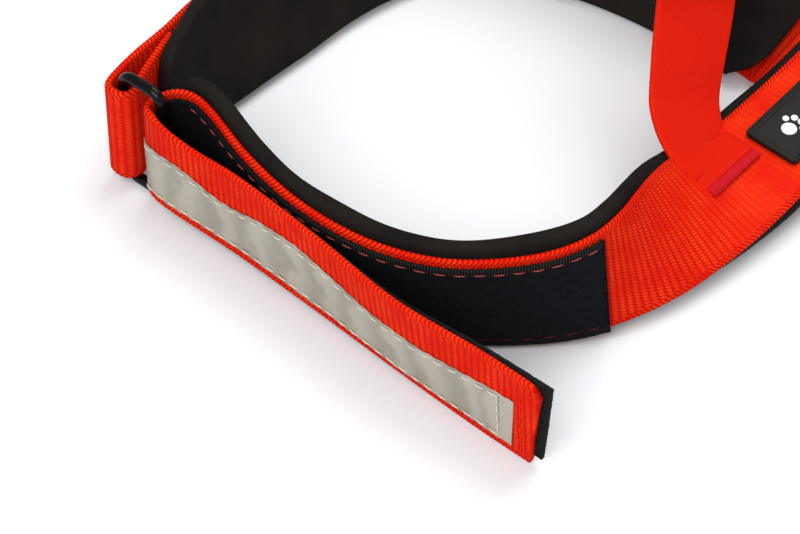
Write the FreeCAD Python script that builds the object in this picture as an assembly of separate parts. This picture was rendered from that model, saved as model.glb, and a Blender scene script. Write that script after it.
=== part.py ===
import FreeCAD, Part
import math
import os

# Head halter: a padded neck band standing on its edge, closed at one end by a
# strap that doubles back through a wire ring, with a nose strap arching over
# the throat end.  +X runs from the closure to the throat, +Z is up, and the
# floor is z = 0.  Millimetres.

V = FreeCAD.Vector
UP = V(0, 0, 1)

os.makedirs("parts", exist_ok=True)
doc = FreeCAD.newDocument("HeadHalter")
sheet = doc.addObject("Spreadsheet::Sheet", "Sizes")

SIZES = {
    "web_wide": 25.0,       # neck webbing, edge to edge
    "web_thick": 1.5,
    "pad_wide": 28.4,       # neoprene lining
    "pad_thick": 3.5,
    "strap_wide": 20.0,     # nose strap webbing
    "strap_thick": 1.3,
    "wire_dia": 2.6,        # closure ring
    "ring_high": 29.2,      # wire centre to wire centre
    "ring_long": 11.0,
    "leash_wire_dia": 3.2,
    "leash_ring_dia": 26.0,  # wire centre line
    "tape_wide": 14.0,
    "tape_thick": 0.2,
    "hook_wide": 23.0,
    "hook_thick": 1.0,
    "loop_wide": 24.0,
    "loop_thick": 0.9,
    "thread_thick": 0.35,
    "label_wide": 13.5,
    "label_thick": 1.6,
    "layer_gap": 0.12,      # air between sewn layers
    "slider_long": 17.0,
    "slider_bar": 2.4,
}
for row, (name, value) in enumerate(SIZES.items(), 1):
    sheet.set("A%d" % row, name)
    sheet.set("B%d" % row, str(value))
    sheet.setAlias("B%d" % row, name)
doc.recompute()


def size(name):
    """A driving size read from the sheet."""
    return float(getattr(sheet, name))


WEB = size("web_wide")
WEB_T = size("web_thick")
PAD = size("pad_wide")
PAD_T = size("pad_thick")
GAP = size("layer_gap")

# Moves the layout below so that the whole part's box is centred on x = y = 0.
CENTRE = V(-32.7, -24.9, 0)

# Upright axes of the two bars of the closure ring.
RING_Z = 15.9
LOOP_BAR = V(-58.8, 27.6, RING_Z)
FOLD_BAR = V(-50.4, 20.5, RING_Z)

# Neck band, closure end to throat: x, y, height of mid-width, inward lean.
# Lean 0 stands on edge, 90 lies flat with the outer face up.
FRONT = [
    (-51.8, 23.3, 15.3, 0), (-47.8, 25.2, 15.3, 0), (-43.6, 24.0, 15.2, 0),
    (-39.6, 19.2, 15.0, 0), (-31.3, 6.4, 14.6, -2), (-20.6, -6.0, 14.3, -4),
    (-8.2, -16.2, 14.3, -4), (4.0, -21.8, 14.3, -4), (15.4, -23.3, 14.3, -4),
    (29.1, -22.3, 14.4, 0), (40.0, -19.0, 14.9, 8), (48.3, -13.3, 15.1, 20),
    (54.9, -6.4, 14.5, 35), (61.4, 2.0, 13.2, 51), (69.5, 12.4, 11.4, 70),
    (76.1, 20.6, 10.4, 82), (88.5, 36.2, 10.1, 88), (100.9, 51.8, 10.1, 88),
    (113.3, 67.4, 10.1, 88),
]
# Far side of the neck band, from its sewn ring loop round to the throat.
BACK = [
    (-48.4, 42.9, 14.9, 8), (-52.0, 36.6, 15.1, 4), (-55.3, 30.2, 15.3, 0),
    (-56.0, 26.4, 15.3, 0), (-58.6, 24.5, 15.3, 0), (-61.5, 26.3, 15.3, 0),
    (-61.7, 29.2, 15.3, 0), (-56.3, 36.9, 15.1, -4), (-49.4, 44.9, 14.8, -9),
    (-41.4, 54.8, 14.2, -18), (-29.0, 69.0, 13.6, -24), (-8.8, 89.0, 13.6, -24),
    (15.0, 98.5, 13.8, -20), (40.0, 91.5, 14.2, -14), (60.0, 78.5, 14.2, -8),
    (70.0, 70.5, 13.0, -24),
]
# Past those rows the back web twists down to lie flat beneath the front band:
# place, width direction.
BACK_TAIL = [
    ((80.0, 67.5, 10.3), (0.53, 0.53, 0.66)),
    ((86.5, 65.0, 5.2), (0.69, 0.69, 0.22)),
    ((92.0, 60.5, 1.9), (0.705, 0.705, 0.05)),
    ((98.0, 54.5, 1.2), (0.707, 0.707, 0.0)),
    ((103.0, 49.5, 1.0), (0.707, 0.707, 0.0)),
]
# Free closure strap, wrapping the ring's bar and swung open.
CLOSURE = [
    (-52.3, 22.9, 15.3, 0), (-53.4, 20.8, 15.3, 0), (-52.6, 18.3, 15.3, 0),
    (-48.2, 13.2, 15.1, -2), (-34.3, 1.1, 14.6, -3), (-17.4, -15.4, 14.1, -5),
    (-0.2, -33.2, 13.8, -8), (16.2, -47.6, 13.6, -4), (30.4, -60.2, 13.5, -4),
]
# Nose strap, mid-thickness, between its two sewn feet: place, then the
# direction of its width.
NOSE_ARCH = [
    ((61.3, 31.4, 18.0), (0.74, 0.58, -0.34)),
    ((62.0, 38.6, 23.6), (0.82, 0.42, -0.39)),
    ((63.7, 47.5, 32.0), (0.87, 0.34, -0.36)),
    ((65.2, 57.6, 43.9), (0.88, 0.33, -0.34)),
    ((66.5, 67.6, 55.8), (0.89, 0.32, -0.33)),
    ((67.4, 77.2, 72.0), (0.93, 0.20, -0.30)),
    ((67.6, 88.0, 84.5), (0.98, 0.06, -0.16)),
    ((67.9, 101.5, 83.0), (1.0, -0.05, -0.05)),
    ((68.0, 107.4, 67.0), (0.97, -0.22, 0.0)),
    ((68.2, 101.8, 49.0), (0.91, -0.41, 0.0)),
    ((67.7, 90.0, 35.5), (0.84, -0.54, 0.0)),
]


def unit(v):
    return v * (1.0 / v.Length)


def through(values, u):
    """Smooth curve through a list of vectors; u runs 0 .. len - 1."""
    i = min(int(u), len(values) - 2)
    f = u - i
    b, c = values[i], values[i + 1]
    a = values[i - 1] if i > 0 else b * 2 - c
    d = values[i + 2] if i + 2 < len(values) else c * 2 - b
    return (b * 2 + (c - a) * f + (a * 2 - b * 5 + c * 4 - d) * f ** 2
            + (b * 3 - a - c * 3 + d) * f ** 3) * 0.5


class Ribbon:
    """A strip's mid surface: a smooth centre line and the way its width lies."""

    def __init__(self, places, across=None, leans=None, inside=1):
        self.places = places
        self.across = across
        self.leans = leans
        self.inside = inside
        self.last = len(places) - 1

    def at(self, u):
        """Place, width direction and outward normal at u."""
        step = 0.01
        p = through(self.places, u)
        ahead = through(self.places, min(u + step, self.last))
        behind = through(self.places, max(u - step, 0.0))
        along = unit(ahead - behind)
        if self.across:
            width = unit(through(self.across, u))
            width = unit(width - along * width.dot(along))
            return p, width, unit(width.cross(along))
        flat = unit(V(along.x, along.y, 0))
        inward = UP.cross(flat) * self.inside
        lean = math.radians(through(self.leans, u).x)
        width = UP * math.cos(lean) + inward * math.sin(lean)
        return p, width, UP * math.sin(lean) - inward * math.cos(lean)

    def point(self, u, v, out):
        """Point v across the width and out along the outward normal."""
        p, width, normal = self.at(u)
        return p + width * v + normal * out + CENTRE

    def solid(self, start, stop, low, high, inner, outer, step=0.25, inset=None):
        """Closed strip between two stations, moved inward by inset(u) if given."""
        count = max(2, int(math.ceil((stop - start) / step)) + 1)
        wires = []
        for i in range(count):
            u = start + (stop - start) * i / (count - 1.0)
            moved = inset(u) if inset else 0.0
            corners = [self.point(u, low, inner - moved), self.point(u, high, inner - moved),
                       self.point(u, high, outer - moved), self.point(u, low, outer - moved)]
            wires.append(Part.makePolygon(corners + corners[:1]))
        return Part.makeLoft(wires, True, True)


def banded(rows, inside):
    places = [V(r[0], r[1], r[2]) for r in rows]
    leans = [V(r[3], 0, 0) for r in rows]
    return Ribbon(places, leans=leans, inside=inside)


front = banded(FRONT, 1)
upright = banded(BACK, -1)
back = Ribbon(upright.places + [V(*place) for place, width in BACK_TAIL],
              across=[upright.at(u)[1] for u in range(len(BACK))]
              + [V(*width) for place, width in BACK_TAIL])
closure = banded(CLOSURE, 1)

# Each foot of the nose strap lies flat on the band's outer face.
FOOT_LIFT = WEB_T / 2 + size("strap_thick") / 2 + 0.95
FRONT_FOOT = (13.56, 15.17)
BACK_FOOT = (13.95, 15.4)


def foot_row(band, span, v):
    """Middle and width direction of the strap, v across the band it lies on."""
    a = band.point(span[0], v, FOOT_LIFT) - CENTRE
    b = band.point(span[1], v, FOOT_LIFT) - CENTRE
    return (a + b) * 0.5, unit(b - a)


NOSE = ([foot_row(front, FRONT_FOOT, v) for v in (-1.0, 5.5, 12.3)]
        + [(V(*p), V(*w)) for p, w in NOSE_ARCH]
        + [foot_row(back, BACK_FOOT, v) for v in (12.3, 5.5, -2.0)])
nose = Ribbon([r[0] for r in NOSE], across=[r[1] for r in NOSE])


def add(name, shape):
    """One node of the part, shown under its own name."""
    obj = doc.addObject("Part::Feature", name)
    obj.Label = name
    obj.Shape = shape
    return obj


def group(shapes):
    return Part.makeCompound(shapes)


# ---- webbing and lining ---------------------------------------------------

HALF = WEB_T / 2
EDGE = WEB / 2
PAD_EDGE = PAD / 2
PAD_OUT = -(HALF + GAP)
PAD_IN = PAD_OUT - PAD_T
WEB_END = 17.55         # station where the neck web stops, past the label
FRONT_PAD_START = 1.5
FRONT_PAD_END = 17.28


def front_web():
    return front.solid(0.0, WEB_END, -EDGE, EDGE, -HALF, HALF)


def front_pad():
    return front.solid(FRONT_PAD_START, FRONT_PAD_END, -PAD_EDGE, PAD_EDGE, PAD_IN, PAD_OUT)


def back_web():
    return back.solid(0.0, back.last, -EDGE, EDGE, -HALF, HALF)


# The back lining lies over the sewn-down tail of the web near the ring, so it starts
# this far in from the web and closes up to it: station, clearance.
BACK_LINING_END = 16.7
BACK_LINING = [(7.1, 4.1), (7.5, 3.3), (7.95, 2.5), (8.4, 1.1), (8.9, 0.0)]


def clearance(u):
    for (u0, c0), (u1, c1) in zip(BACK_LINING, BACK_LINING[1:]):
        if u <= u1:
            return c0 + (c1 - c0) * (u - u0) / (u1 - u0)
    return 0.0


def back_pad():
    return back.solid(BACK_LINING[0][0], BACK_LINING_END, -PAD_EDGE, PAD_EDGE, PAD_IN,
                      PAD_OUT, inset=clearance)


# ---- closure strap and its fastening --------------------------------------

FOLD_END = 2.4          # the web bends round the ring's bar up to here
FOLD_GAP = 0.03
STRAP_END = 7.76        # the hook strip runs a little past the web's end
TAPE_START = 1.0
TAPE_END = 7.42
TAPE_LOW = -10.6
TAPE_TOP = TAPE_LOW + size("tape_wide")
TAPE_FACE = HALF + GAP + size("tape_thick")
LOOP_START = 1.3
LOOP_END = 10.2
LOOP_V = -0.8           # the loop strip covers all but the web's top edge


def strap_fold():
    return closure.solid(0.0, FOLD_END, -EDGE, EDGE, -HALF, HALF, step=0.2)


def closure_strap():
    return closure.solid(FOLD_END + FOLD_GAP, STRAP_END, -EDGE, EDGE, -HALF, HALF)


def hook_strip():
    wide = size("hook_wide") / 2
    face = -(HALF + GAP)
    return closure.solid(2.6, closure.last, -wide, wide, face - size("hook_thick"), face)


def tape_fold():
    return closure.solid(TAPE_START, FOLD_END, TAPE_LOW, TAPE_TOP, HALF + GAP, TAPE_FACE,
                         step=0.2)


def reflective_tape():
    return closure.solid(FOLD_END + FOLD_GAP, TAPE_END, TAPE_LOW, TAPE_TOP, HALF + GAP,
                         TAPE_FACE)


def loop_strip():
    wide = size("loop_wide") / 2
    face = HALF + GAP
    return front.solid(LOOP_START, LOOP_END, LOOP_V - wide, LOOP_V + wide, face,
                       face + size("loop_thick"))


# ---- stitching ------------------------------------------------------------

THREAD = size("thread_thick")


def row_along(ribbon, start, stop, v, out, pitch=0.22, wide=0.5, fill=0.68):
    """Stitches in a row that follows the ribbon."""
    count = int((stop - start) / pitch)
    return [ribbon.solid(start + i * pitch, start + (i + fill) * pitch, v - wide / 2,
                         v + wide / 2, out, out + THREAD, step=1.0)
            for i in range(count)]


def row_across(ribbon, u, low, high, out, count, wide=0.034, fill=0.68):
    """Stitches in a row from edge to edge of the ribbon."""
    pitch = (high - low) / count
    return [ribbon.solid(u - wide / 2, u + wide / 2, low + i * pitch,
                         low + (i + fill) * pitch, out, out + THREAD, step=1.0)
            for i in range(count)]


STITCH_START = FOLD_END + 2 * FOLD_GAP


def tape_stitching():
    out = TAPE_FACE + GAP
    rows = row_along(closure, STITCH_START, 7.3, TAPE_LOW + 1.3, out)
    rows += row_along(closure, STITCH_START, 7.3, TAPE_TOP - 1.3, out)
    rows += row_across(closure, 7.25, TAPE_LOW + 2.4, TAPE_TOP - 2.4, out, 3)
    return group(rows)


def strap_end_stitching():
    return group(row_across(closure, 7.58, -10.5, 10.5, HALF + GAP, 7))


def loop_stitching():
    out = HALF + GAP + size("loop_thick") + GAP
    inset = size("loop_wide") / 2 - 2.2
    return group(row_along(front, LOOP_START + 0.1, LOOP_END - 0.1, LOOP_V + inset, out)
                 + row_along(front, LOOP_START + 0.1, LOOP_END - 0.1, LOOP_V - inset, out))


def ring_loop_tack():
    return group(row_across(back, 8.0, -10, 10, HALF + 2 * GAP, 8))


# ---- closure ring ---------------------------------------------------------

def rounded_loop(origin, along, up, long, high, radius, wire):
    """Wire bent to a rounded rectangle, from a bar through origin."""
    corners = [origin - up * (high / 2), origin + along * long - up * (high / 2),
               origin + along * long + up * (high / 2), origin + up * (high / 2)]
    path = Part.makePolygon(corners + corners[:1])
    edges = []
    for i, corner in enumerate(corners):
        before = unit(corners[i - 1] - corner)
        after = unit(corners[(i + 1) % 4] - corner)
        bulge = corner + (before + after) * (radius * (1 - math.sqrt(0.5)))
        edges.append(Part.Arc(corner + before * radius, bulge,
                              corner + after * radius).toShape())
        following = corners[(i + 1) % 4]
        edges.append(Part.makeLine(corner + after * radius, following - after * radius))
    path = Part.Wire(Part.__sortEdges__(edges))
    start = corners[0] + unit(corners[1] - corners[0]) * (long / 2)
    circle = Part.Wire(Part.makeCircle(wire / 2, start, along))
    return path.makePipeShell([circle], True, True)


def closure_ring():
    along = unit(FOLD_BAR - LOOP_BAR)
    return rounded_loop(LOOP_BAR + CENTRE, along, UP, size("ring_long"),
                        size("ring_high"), 3.0, size("wire_dia"))


# ---- label ----------------------------------------------------------------

LABEL_START = 15.28
LABEL_END = 17.08
LABEL_V = -0.5          # the label sits a touch below mid-width
LABEL_FACE = HALF + GAP + size("label_thick")


def label():
    wide = size("label_wide") / 2
    return front.solid(LABEL_START, LABEL_END, LABEL_V - wide, LABEL_V + wide,
                       HALF + GAP, LABEL_FACE)


def disc(u, v, radius):
    place = front.point(u, LABEL_V + v, LABEL_FACE + GAP)
    return Part.makeCylinder(radius, 0.4, place, front.at(u)[2])


def paw(u):
    """A pad and four toes, toes toward the throat end."""
    toe = 0.055
    return [disc(u - toe, 0, 1.75), disc(u + toe * 0.8, -2.2, 0.75),
            disc(u + toe * 2.0, -0.85, 0.8), disc(u + toe * 2.0, 0.95, 0.8),
            disc(u + toe * 0.8, 2.3, 0.75)]


def label_motif():
    return group(paw(15.68) + paw(16.18) + paw(16.68))


def label_stitching():
    out = LABEL_FACE + GAP
    inset = size("label_wide") / 2 - 0.9
    rows = row_along(front, LABEL_START + 0.08, LABEL_END - 0.08, LABEL_V + inset, out, 0.15)
    rows += row_along(front, LABEL_START + 0.08, LABEL_END - 0.08, LABEL_V - inset, out, 0.15)
    return group(rows)


# ---- nose strap -----------------------------------------------------------

NOSE_HALF = size("strap_thick") / 2
NOSE_EDGE = size("strap_wide") / 2
LAP = 2.75              # the lapped layer's mid surface over the lower one
LAPPED = (5.35, 6.1, 6.9)
nose_back = Ribbon([nose.point(u, 0, LAP) - CENTRE for u in LAPPED]
                   + [r[0] for r in NOSE[8:]],
                   across=[nose.at(u)[1] for u in LAPPED] + [r[1] for r in NOSE[8:]])


def nose_strap_front():
    return nose.solid(0.0, 7.2, -NOSE_EDGE, NOSE_EDGE, -NOSE_HALF, NOSE_HALF)


def nose_strap_back():
    return nose_back.solid(0.0, nose_back.last, -NOSE_EDGE, NOSE_EDGE,
                           -NOSE_HALF, NOSE_HALF)


def bar_tack(ribbon, u, out):
    """Dense sewing across the strap: a bar of cross stitches."""
    return ribbon.solid(u - 0.22, u + 0.22, -7.5, 7.5, out, out + THREAD, step=1.0)


def nose_front_tack():
    return bar_tack(nose, 0.35, NOSE_HALF + GAP)


def nose_back_tack():
    return bar_tack(nose_back, nose_back.last - 0.5, NOSE_HALF + GAP)


def block(ribbon, u, low, high, inner, outer, long):
    """A straight block square to the ribbon at u."""
    p, width, normal = ribbon.at(u)
    along = normal.cross(width)
    corner = p + CENTRE + width * low + normal * inner - along * (long / 2)
    face = Part.makePolygon([corner, corner + width * (high - low),
                             corner + width * (high - low) + along * long,
                             corner + along * long, corner])
    return Part.Face(face).extrude(normal * (outer - inner))


def nose_slider():
    """Moulded slider: two rails, a bar between the layers, end bars on top."""
    u = 6.1
    rail = NOSE_EDGE + 0.8
    long = size("slider_long")
    bar = size("slider_bar")
    top = LAP + NOSE_HALF + 0.25
    p, width, normal = nose.at(u)
    along = normal.cross(width)
    parts = [block(nose, u, rail, rail + bar, -0.9, top + 1.4, long),
             block(nose, u, -rail - bar, -rail, -0.9, top + 1.4, long),
             block(nose, u, -rail - 0.1, rail + 0.1, NOSE_HALF + 0.2,
                   LAP - NOSE_HALF - 0.2, bar)]
    for side in (-1, 1):
        end = block(nose, u, -rail - 0.1, rail + 0.1, top, top + 1.4, bar)
        end.translate(along * (side * (long - bar) / 2))
        parts.append(end)
    return parts[0].multiFuse(parts[1:]).removeSplitter()


# ---- leash ring -----------------------------------------------------------

LEASH_BAR_U = 17.73     # the ring's bar, just past the end of the neck web
TAB_HALF = 0.65
TAB_EDGE = 9.0


def leash_frame():
    """Bar centre, direction away from the band, and the band's width and normal there."""
    place, width, normal = front.at(LEASH_BAR_U)
    out = unit(width.cross(normal))
    if out.x < 0:
        out = out * -1
    return place, out, width, normal


def leash_tab():
    """Webbing folded round the ring's bar, above and below the neck web."""
    place, out, width, normal = leash_frame()
    reach = 8.4
    lift = HALF + GAP + TAB_HALF + 0.05
    over = 2.75
    spots = [(-reach, lift), (-reach / 2, lift), (-1.6, over * 0.9), (0.6, over),
             (over * 0.8, over * 0.6), (over, 0.0), (over * 0.8, -over * 0.6),
             (0.6, -over), (-1.6, -over * 0.9), (-reach / 2, -lift), (-reach + 1.0, -lift)]
    places = [place + out * a + normal * b for a, b in spots]
    tab = Ribbon(places, across=[width * -1] * len(places))
    return tab.solid(0, tab.last, -TAB_EDGE, TAB_EDGE, -TAB_HALF, TAB_HALF)


def leash_ring():
    """D-shaped wire ring, its far side resting on the floor."""
    place, out, width, normal = leash_frame()
    out = unit(V(out.x, out.y, 0))
    cross = unit(UP.cross(out))
    half = size("leash_ring_dia") / 2
    wire = size("leash_wire_dia")
    side = 6.0
    drop = math.asin((place.z - wire / 2) / (side + half))
    reach = out * math.cos(drop) - UP * math.sin(drop)
    base = place + CENTRE
    bend = 3.0
    a = base - cross * (half - bend)
    b = base + cross * (half - bend)
    c = base + cross * half + reach * bend
    d = base + cross * half + reach * side
    e = base + reach * (side + half)
    f = base - cross * half + reach * side
    g = base - cross * half + reach * bend
    inset = bend * (1 - math.sqrt(0.5))
    bc = base + cross * (half - inset) + reach * inset
    ga = base - cross * (half - inset) + reach * inset
    edges = [Part.makeLine(a, b), Part.Arc(b, bc, c).toShape(), Part.makeLine(c, d),
             Part.Arc(d, e, f).toShape(), Part.makeLine(f, g), Part.Arc(g, ga, a).toShape()]
    circle = Part.Wire(Part.makeCircle(wire / 2, a, cross))
    return Part.Wire(edges).makePipeShell([circle], True, True)


def leash_tab_tack():
    place, out, width, normal = leash_frame()
    lift = HALF + GAP + 2 * TAB_HALF + 0.05 + GAP
    rows = []
    for at in (-7.6, -5.0):
        for v in range(-7, 8, 2):
            corner = place + CENTRE + out * at + width * (v - 0.7) + normal * lift
            face = Part.makePolygon([corner, corner + width * 1.4,
                                     corner + width * 1.4 + out * 0.5,
                                     corner + out * 0.5, corner])
            rows.append(Part.Face(face).extrude(normal * THREAD))
    return group(rows)


MAKERS = [front_web, front_pad, back_web, back_pad, strap_fold, closure_strap,
          hook_strip, tape_fold, reflective_tape, loop_strip, tape_stitching, strap_end_stitching,
          loop_stitching, ring_loop_tack, closure_ring, label, label_motif,
          label_stitching, nose_strap_front, nose_strap_back, nose_front_tack,
          nose_back_tack, nose_slider, leash_tab, leash_ring, leash_tab_tack]
for maker in MAKERS:
    add(maker.__name__, maker())
doc.recompute()
for obj in doc.Objects:
    if "Invalid" in obj.State or "Error" in obj.State:
        raise ValueError("bad object: " + obj.Label)
for obj in doc.Objects:
    if not hasattr(obj, "Shape"):
        continue
    shape = obj.Shape
    if shape.isNull() or not shape.isValid():
        raise ValueError("bad solid: " + obj.Label)
    shape.exportStep("parts/%s.step" % obj.Label)
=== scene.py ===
import math

import bpy
import numpy as np
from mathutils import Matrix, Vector

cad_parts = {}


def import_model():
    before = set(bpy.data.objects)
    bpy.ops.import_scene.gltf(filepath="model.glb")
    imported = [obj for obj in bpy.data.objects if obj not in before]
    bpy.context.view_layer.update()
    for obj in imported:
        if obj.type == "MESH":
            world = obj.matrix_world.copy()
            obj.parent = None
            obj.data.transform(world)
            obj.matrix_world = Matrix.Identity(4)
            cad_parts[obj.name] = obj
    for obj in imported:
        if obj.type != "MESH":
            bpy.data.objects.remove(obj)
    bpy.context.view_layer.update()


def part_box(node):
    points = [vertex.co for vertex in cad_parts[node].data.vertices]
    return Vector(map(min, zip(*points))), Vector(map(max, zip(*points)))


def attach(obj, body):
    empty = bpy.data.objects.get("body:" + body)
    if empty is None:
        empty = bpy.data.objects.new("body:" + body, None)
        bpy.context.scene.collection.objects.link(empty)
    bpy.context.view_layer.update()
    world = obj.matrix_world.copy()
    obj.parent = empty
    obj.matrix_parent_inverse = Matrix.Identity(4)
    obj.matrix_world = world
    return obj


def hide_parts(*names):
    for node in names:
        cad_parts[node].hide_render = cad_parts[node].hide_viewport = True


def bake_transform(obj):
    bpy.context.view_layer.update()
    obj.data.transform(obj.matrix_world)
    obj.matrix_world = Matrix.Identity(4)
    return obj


# Head halter: ribbed red webbing, black neoprene lining, hook-and-loop closure
# through a wire ring, nose strap, label and leash ring.  Lengths in the layout
# are millimetres; meshes are written in metres.

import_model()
MM = 0.001
UP = np.array([0.0, 0.0, 1.0])

# ---- layout (the same centre lines as the solid part) ---------------------

WEB_WIDE, WEB_THICK = 25.0, 1.5
PAD_WIDE, PAD_THICK = 28.4, 3.5
STRAP_WIDE, STRAP_THICK = 20.0, 1.3
HALF, EDGE = WEB_THICK / 2, WEB_WIDE / 2
NOSE_HALF, NOSE_EDGE = STRAP_THICK / 2, STRAP_WIDE / 2
GAP = 0.12
RING_Z = 15.9
LOOP_BAR = np.array([-58.8, 27.6, RING_Z])
FOLD_BAR = np.array([-50.4, 20.5, RING_Z])

# x, y, height of mid-width, inward lean in degrees
FRONT = [
    (-51.8, 23.3, 15.3, 0), (-47.8, 25.2, 15.3, 0), (-43.6, 24.0, 15.2, 0),
    (-39.6, 19.2, 15.0, 0), (-31.3, 6.4, 14.6, -2), (-20.6, -6.0, 14.3, -4),
    (-8.2, -16.2, 14.3, -4), (4.0, -21.8, 14.3, -4), (15.4, -23.3, 14.3, -4),
    (29.1, -22.3, 14.4, 0), (40.0, -19.0, 14.9, 8), (48.3, -13.3, 15.1, 20),
    (54.9, -6.4, 14.5, 35), (61.4, 2.0, 13.2, 51), (69.5, 12.4, 11.4, 70),
    (76.1, 20.6, 10.4, 82), (88.5, 36.2, 10.1, 88), (100.9, 51.8, 10.1, 88),
    (113.3, 67.4, 10.1, 88),
]
BACK = [
    (-48.4, 42.9, 14.9, 8), (-52.0, 36.6, 15.1, 4), (-55.3, 30.2, 15.3, 0),
    (-56.0, 26.4, 15.3, 0), (-58.6, 24.5, 15.3, 0), (-61.5, 26.3, 15.3, 0),
    (-61.7, 29.2, 15.3, 0), (-56.3, 36.9, 15.1, -4), (-49.4, 44.9, 14.8, -9),
    (-41.4, 54.8, 14.2, -18), (-29.0, 69.0, 13.6, -24), (-8.8, 89.0, 13.6, -24),
    (15.0, 98.5, 13.8, -20), (40.0, 91.5, 14.2, -14), (60.0, 78.5, 14.2, -8),
    (70.0, 70.5, 13.0, -24),
]
# where the back web twists down flat: place, width direction
BACK_TAIL = [
    ((80.0, 67.5, 10.3), (0.53, 0.53, 0.66)),
    ((86.5, 65.0, 5.2), (0.69, 0.69, 0.22)),
    ((92.0, 60.5, 1.9), (0.705, 0.705, 0.05)),
    ((98.0, 54.5, 1.2), (0.707, 0.707, 0.0)),
    ((103.0, 49.5, 1.0), (0.707, 0.707, 0.0)),
]
CLOSURE = [
    (-52.3, 22.9, 15.3, 0), (-53.4, 20.8, 15.3, 0), (-52.6, 18.3, 15.3, 0),
    (-48.2, 13.2, 15.1, -2), (-34.3, 1.1, 14.6, -3), (-17.4, -15.4, 14.1, -5),
    (-0.2, -33.2, 13.8, -8), (16.2, -47.6, 13.6, -4), (30.4, -60.2, 13.5, -4),
]
# the nose strap between its feet: place, width direction
NOSE_ARCH = [
    ((61.3, 31.4, 18.0), (0.74, 0.58, -0.34)),
    ((62.0, 38.6, 23.6), (0.82, 0.42, -0.39)),
    ((63.7, 47.5, 32.0), (0.87, 0.34, -0.36)),
    ((65.2, 57.6, 43.9), (0.88, 0.33, -0.34)),
    ((66.5, 67.6, 55.8), (0.89, 0.32, -0.33)),
    ((67.4, 77.2, 72.0), (0.93, 0.20, -0.30)),
    ((67.6, 88.0, 84.5), (0.98, 0.06, -0.16)),
    ((67.9, 101.5, 83.0), (1.0, -0.05, -0.05)),
    ((68.0, 107.4, 67.0), (0.97, -0.22, 0.0)),
    ((68.2, 101.8, 49.0), (0.91, -0.41, 0.0)),
    ((67.7, 90.0, 35.5), (0.84, -0.54, 0.0)),
]
# Stations along a centre line are its points' numbers: 0 at the first one.
WEB_END = 17.55
STRAP_END = 7.76
LABEL_START, LABEL_END, LABEL_V = 15.28, 17.08, -0.5
LABEL_WIDE, LABEL_THICK = 13.5, 1.6
# The nose strap's feet are sunk into the bands, so that they look pressed flat.
FOOT_SUNK = 1.0
FOOT_LIFT = HALF + NOSE_HALF - FOOT_SUNK
FRONT_FOOT, FRONT_FOOT_ACROSS = (13.56, 15.17), (-1.0, 5.5, 12.3)
BACK_FOOT, BACK_FOOT_ACROSS = (13.95, 15.4), (12.3, 5.5, -2.0)
NOSE_START, NOSE_LAP_END = 0.22, 7.2
# The strap's back length starts above these stations of the front one, LAP higher, and
# follows the strap's own rows from AFTER_LAP on.
LAP = 2.75
LAPPED, AFTER_LAP = (5.35, 6.1, 6.9), 8
SLIDER_AT = 6.1
LEASH_BAR_U = 17.73
LOOP_LOW, LOOP_TOP = -12.8, 11.2


def unit(v):
    """Vectors made one long."""
    return v / np.linalg.norm(v, axis=-1, keepdims=True)


def through(rows, u):
    """Smooth curve through rows of numbers at each station in u."""
    rows = np.asarray(rows, float)
    u = np.atleast_1d(np.asarray(u, float))
    i = np.clip(u.astype(int), 0, len(rows) - 2)
    f = (u - i)[:, None]
    padded = np.vstack([rows[0] * 2 - rows[1], rows, rows[-1] * 2 - rows[-2]])
    a, b, c, d = padded[i], padded[i + 1], padded[i + 2], padded[i + 3]
    return 0.5 * (2 * b + (c - a) * f + (2 * a - 5 * b + 4 * c - d) * f**2
                  + (3 * b - a - 3 * c + d) * f**3)


class Ribbon:
    """A strip's mid surface: a smooth centre line and the way its width lies."""

    def __init__(self, places, leans=None, across=None, inside=1):
        self.places = np.array(places, float)
        self.leans = None if leans is None else np.array(leans, float)[:, None]
        self.across = None if across is None else np.array(across, float)
        self.inside = inside
        self.last = len(places) - 1
        self.table_u = np.linspace(0, self.last, self.last * 40 + 1)
        steps = np.diff(through(self.places, self.table_u), axis=0)
        self.table_s = np.concatenate([[0], np.cumsum(np.linalg.norm(steps, axis=1))])

    def length_at(self, u):
        return float(np.interp(u, self.table_u, self.table_s))

    def frames(self, u):
        """Place, width direction and outward normal at each station."""
        u = np.atleast_1d(np.asarray(u, float))
        step = 0.02
        p = through(self.places, u)
        along = unit(through(self.places, np.minimum(u + step, self.last))
                     - through(self.places, np.maximum(u - step, 0)))
        if self.across is not None:
            width = unit(through(self.across, u))
            width = unit(width - along * (width * along).sum(1, keepdims=True))
            return p, width, unit(np.cross(width, along))
        flat = unit(along * np.array([1.0, 1.0, 0.0]))
        inward = np.cross(UP, flat) * self.inside
        lean = np.radians(through(self.leans, u))
        width = UP * np.cos(lean) + inward * np.sin(lean)
        return p, width, UP * np.sin(lean) - inward * np.cos(lean)

    def points(self, u, v, out):
        """Points v across the width and out along the outward normal."""
        u, v, out = np.broadcast_arrays(*(np.atleast_1d(np.asarray(a, float)) for a in (u, v, out)))
        p, width, normal = self.frames(u)
        return p + width * v[:, None] + normal * out[:, None]


def banded(rows, inside):
    """Ribbon through rows of x, y, height of mid-width and lean."""
    rows = np.array(rows, float)
    return Ribbon(rows[:, :3], leans=rows[:, 3], inside=inside)


front = banded(FRONT, 1)
upright = banded(BACK, -1)
back = Ribbon([row[:3] for row in BACK] + [place for place, width in BACK_TAIL],
              across=list(upright.frames(np.arange(len(BACK)))[1])
              + [width for place, width in BACK_TAIL])
closure = banded(CLOSURE, 1)


def foot_row(band, span, v):
    """Middle and width direction of the nose strap, v across the band it lies on."""
    a, b = band.points(span, v, FOOT_LIFT)
    return (a + b) / 2, unit(b - a)


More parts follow.
